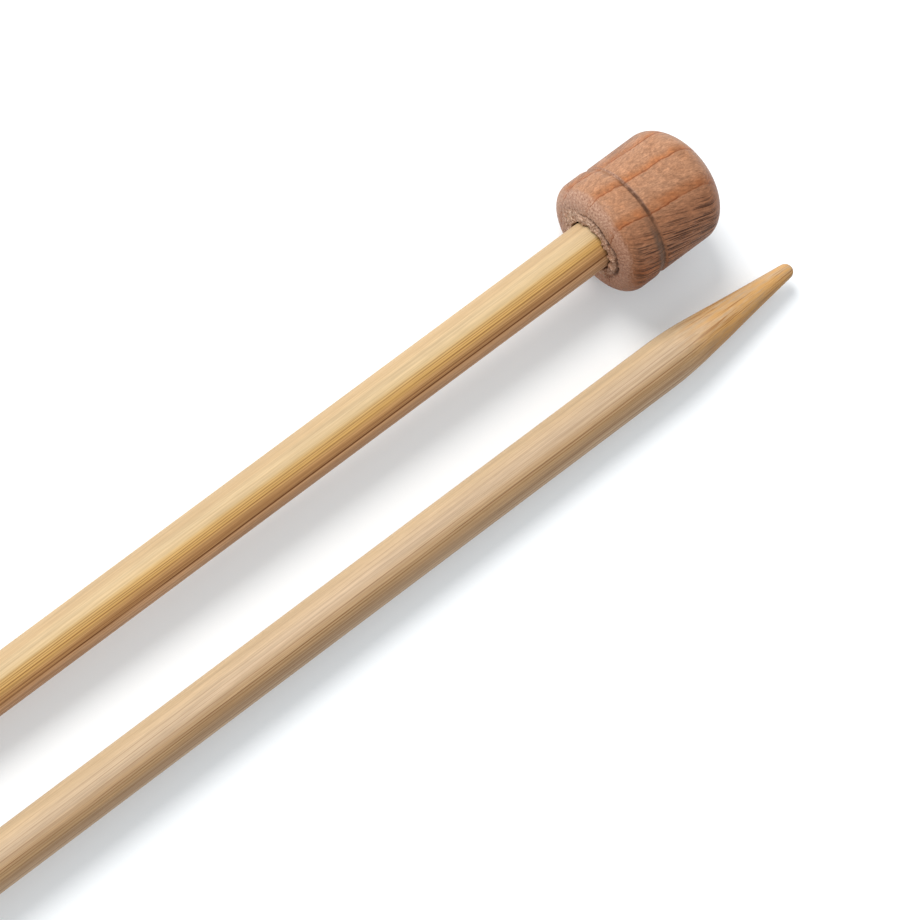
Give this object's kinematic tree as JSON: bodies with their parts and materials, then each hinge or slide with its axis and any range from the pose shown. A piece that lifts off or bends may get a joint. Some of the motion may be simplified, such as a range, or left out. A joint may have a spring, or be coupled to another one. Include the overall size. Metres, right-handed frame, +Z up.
{
  "type": "knitting needles",
  "caption": "Straight single-pointed knitting needles in natural wood: a bamboo shaft with a tapered tip, glued into a turned, grooved knob.",
  "frame": {"origin": "centre of the bounding box, on the table the pair lies on", "axes": "+X along both needles towards needle_1's knob, +Y from needle_2's side to needle_1's side, +Z up"},
  "size_m": [0.3362, 0.041, 0.0199],
  "materials": {
    "needle_1_shaft_wood": "bamboo, sanded fine and lightly waxed, satin",
    "needle_1_knob_wood": "turned beech, thin satin varnish",
    "needle_2_shaft_wood": "bamboo, sanded fine and lightly waxed, satin",
    "needle_2_knob_wood": "turned beech, thin satin varnish"
  },
  "bodies": {
    "needle_1": {"needle_1_shaft": "needle_1_shaft_wood", "needle_1_knob": "needle_1_knob_wood"},
    "needle_2": {"needle_2_shaft": "needle_2_shaft_wood", "needle_2_knob": "needle_2_knob_wood"}
  },
  "joints": [
    {"name": "needle_2_draw", "type": "slide", "parent": "needle_1", "child": "needle_2", "axis": [1, 0, 0], "range_m": [-0.34, 0.34]}
  ]
}
